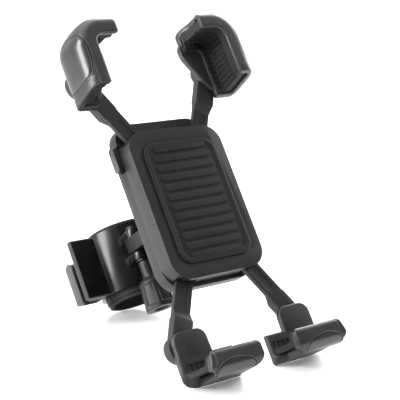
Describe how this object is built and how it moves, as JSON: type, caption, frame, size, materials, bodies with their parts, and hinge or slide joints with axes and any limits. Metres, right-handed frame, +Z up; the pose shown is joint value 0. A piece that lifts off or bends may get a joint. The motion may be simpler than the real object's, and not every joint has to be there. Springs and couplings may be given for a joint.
{
  "type": "phone handlebar mount",
  "caption": "Spring-claw phone cradle with sliding corner arms, on a swivel and tilt joint with a hinged two-shell handlebar clamp and a cam lever.",
  "frame": {"origin": "on the standing plane, under the middle of the bounding box, as the mount stands on its two feet and the lower rim of its handlebar clamp", "axes": "+Z is up, +X points to the phone user's right and -Y points to the phone's screen side; the phone lies 32.5 degrees back from vertical"},
  "size_m": [0.0992, 0.1586, 0.161],
  "materials": {
    "black_shell": "moulded ABS, fine grain with a satin sheen",
    "grip_panel": "polished black inlay",
    "rubber": "moulded silicone rubber, dull",
    "arm_plastic": "glass-filled nylon",
    "screw_steel": "zinc-plated steel",
    "spring_steel": "drawn spring wire",
    "gear_acetal": "natural acetal",
    "clamp_plastic": "moulded nylon, semi gloss",
    "brass": "turned insert"
  },
  "bodies": {
    "cradle": {"housing_front": "black_shell", "housing_pad": "rubber", "housing_back": "black_shell", "housing_screws": "screw_steel", "clock_spring": "spring_steel", "retaining_ring": "black_shell", "ring_screws": "screw_steel", "button_spring": "spring_steel"},
    "claw_ul": {"claw_shell_ul": "black_shell", "claw_liner_ul": "rubber", "claw_grips_ul": "grip_panel", "arm_ul": "arm_plastic", "claw_screws_ul": "screw_steel"},
    "claw_ur": {"claw_shell_ur": "black_shell", "claw_liner_ur": "rubber", "claw_grips_ur": "grip_panel", "arm_ur": "arm_plastic", "claw_screws_ur": "screw_steel"},
    "foot_l": {"foot_shell_l": "black_shell", "foot_liner_l": "rubber", "foot_grip_l": "grip_panel", "arm_ll": "arm_plastic", "foot_screws_l": "screw_steel"},
    "foot_r": {"foot_shell_r": "black_shell", "foot_liner_r": "rubber", "foot_grip_r": "grip_panel", "arm_lr": "arm_plastic", "foot_screws_r": "screw_steel"},
    "pinion": {"pinion": "gear_acetal"},
    "button": {"release_button": "black_shell"},
    "pawl": {"lock_pawl": "gear_acetal"},
    "fork": {"swivel_fork": "clamp_plastic", "tilt_bolt": "screw_steel", "tilt_washer": "screw_steel"},
    "knob": {"tilt_knob": "black_shell"},
    "clamp": {"clamp_front": "clamp_plastic", "bar_liner_front": "rubber", "insert_nut": "brass", "hinge_pin": "screw_steel"},
    "door": {"clamp_rear": "clamp_plastic", "bar_liner_rear": "rubber", "eye_bolt": "screw_steel", "cam_pin": "screw_steel"},
    "lever": {"cam_lever": "clamp_plastic"}
  },
  "joints": [
    {"name": "claw_ul_slide", "type": "slide", "parent": "cradle", "child": "claw_ul", "axis": [-0.4848, 0.4699, 0.7376], "range_m": [-0.016, 0.005]},
    {"name": "claw_ur_slide", "type": "slide", "parent": "cradle", "child": "claw_ur", "axis": [0.4848, 0.4699, 0.7376], "range_m": [-0.016, 0.005]},
    {"name": "foot_l_slide", "type": "slide", "parent": "cradle", "child": "foot_l", "axis": [-0.4848, -0.4699, -0.7376], "range_m": [-0.016, 0.005]},
    {"name": "foot_r_slide", "type": "slide", "parent": "cradle", "child": "foot_r", "axis": [0.4848, -0.4699, -0.7376], "range_m": [-0.016, 0.005]},
    {"name": "pinion_spin", "type": "hinge", "parent": "cradle", "child": "pinion", "pos_m": [0, -0.01169, 0.06897], "axis": [0, -0.8434, 0.5373], "range_deg": [-152.8, 47.76]},
    {"name": "button_press", "type": "slide", "parent": "cradle", "child": "button", "axis": [1, 0, 0], "range_m": [0, 0.0025], "stiffness_N_per_m": 800, "springref_m": -0.003},
    {"name": "pawl_release", "type": "hinge", "parent": "cradle", "child": "pawl", "pos_m": [-0.012, 0.0032, 0.08676], "axis": [0, 0.8434, -0.5373], "range_deg": [0, 11.5]},
    {"name": "swivel", "type": "hinge", "parent": "cradle", "child": "fork", "pos_m": [0, -0.00326, 0.0636], "axis": [0, 0.8434, -0.5373], "continuous": true},
    {"name": "tilt", "type": "hinge", "parent": "fork", "child": "clamp", "pos_m": [0, 0.03101, 0.04295], "axis": [0, 0.5373, 0.8434], "range_deg": [-55, 55]},
    {"name": "knob_turn", "type": "hinge", "parent": "fork", "child": "knob", "pos_m": [0, 0.01651, 0.02018], "axis": [0, 0.5373, 0.8434], "continuous": true},
    {"name": "door_open", "type": "hinge", "parent": "clamp", "child": "door", "pos_m": [0.034, 0.05311, 0.02739], "axis": [0, -0.5373, -0.8434], "range_deg": [0, 95]},
    {"name": "lever_flip", "type": "hinge", "parent": "door", "child": "lever", "pos_m": [-0.01825, 0.06026, 0.02669], "axis": [1, 0, 0], "range_deg": [0, 105]}
  ],
  "couplings": [
    {"joint": "claw_ur_slide", "follows": "claw_ul_slide", "ratio": 1},
    {"joint": "foot_l_slide", "follows": "claw_ul_slide", "ratio": 1},
    {"joint": "foot_r_slide", "follows": "claw_ul_slide", "ratio": 1},
    {"joint": "pinion_spin", "follows": "claw_ul_slide", "rad_per_m": 166.67},
    {"joint": "pawl_release", "follows": "button_press", "rad_per_m": 80}
  ]
}
